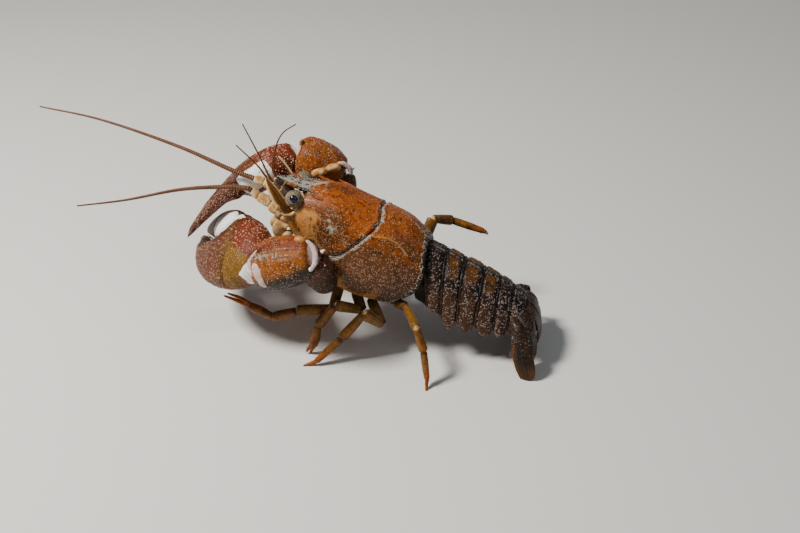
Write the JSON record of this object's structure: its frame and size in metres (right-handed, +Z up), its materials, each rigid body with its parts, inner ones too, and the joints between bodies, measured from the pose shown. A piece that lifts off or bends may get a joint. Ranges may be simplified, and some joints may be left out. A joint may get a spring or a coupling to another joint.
{
  "type": "signal crayfish",
  "caption": "Life-size signal crayfish standing on its walking legs and tail leaves, both claws folded across its front, long feelers forward.",
  "frame": {"origin": "on the floor, under the middle of the box around the whole animal with its feelers", "axes": "+X towards the tail and the head faces -X, +Y towards the animal's right, +Z up from the floor"},
  "size_m": [0.1718, 0.0612, 0.076],
  "materials": {
    "carapace_shell": "glossy wet shell, burnt orange",
    "tail_shell": "satin dark brown shell",
    "claw_shell": "glossy dark red shell",
    "leg_shell": "glossy amber shell",
    "feeler_shell": "satin red-brown",
    "underside": "satin cream shell",
    "eye": "wet glossy black"
  },
  "bodies": {
    "root": {"abdomen_1": "tail_shell", "abdomen_2": "tail_shell", "abdomen_3": "tail_shell", "abdomen_4": "tail_shell", "abdomen_5": "tail_shell", "abdomen_6": "tail_shell", "carapace": "carapace_shell", "claw_arm_base_left": "leg_shell", "claw_arm_base_right": "leg_shell", "claw_arm_left": "claw_shell", "claw_arm_right": "claw_shell", "claw_finger_left": "claw_shell", "claw_finger_right": "claw_shell", "claw_palm_left": "claw_shell", "claw_palm_right": "claw_shell", "claw_wrist_left": "claw_shell", "claw_wrist_right": "claw_shell", "eye_left": "eye", "eye_right": "eye", "eyestalk_left": "tail_shell", "eyestalk_right": "tail_shell", "feeler_base_left": "underside", "feeler_base_right": "underside", "feeler_left": "feeler_shell", "feeler_right": "feeler_shell", "feeler_scale_left": "leg_shell", "feeler_scale_right": "leg_shell", "jaw_leg_left": "underside", "jaw_leg_right": "underside", "leg_2_left_lower": "leg_shell", "leg_2_left_upper": "leg_shell", "leg_2_right_lower": "leg_shell", "leg_2_right_upper": "leg_shell", "leg_3_left_lower": "leg_shell", "leg_3_left_upper": "leg_shell", "leg_3_right_lower": "leg_shell", "leg_3_right_upper": "leg_shell", "leg_4_left_lower": "leg_shell", "leg_4_left_upper": "leg_shell", "leg_4_right_lower": "leg_shell", "leg_4_right_upper": "leg_shell", "leg_5_left_lower": "leg_shell", "leg_5_left_upper": "leg_shell", "leg_5_right_lower": "leg_shell", "leg_5_right_upper": "leg_shell", "small_feelers_left": "feeler_shell", "small_feelers_right": "feeler_shell", "sternum": "underside", "tail_inner_left": "tail_shell", "tail_inner_right": "tail_shell", "tail_outer_left": "tail_shell", "tail_outer_right": "tail_shell", "telson": "tail_shell"}
  },
  "joints": []
}
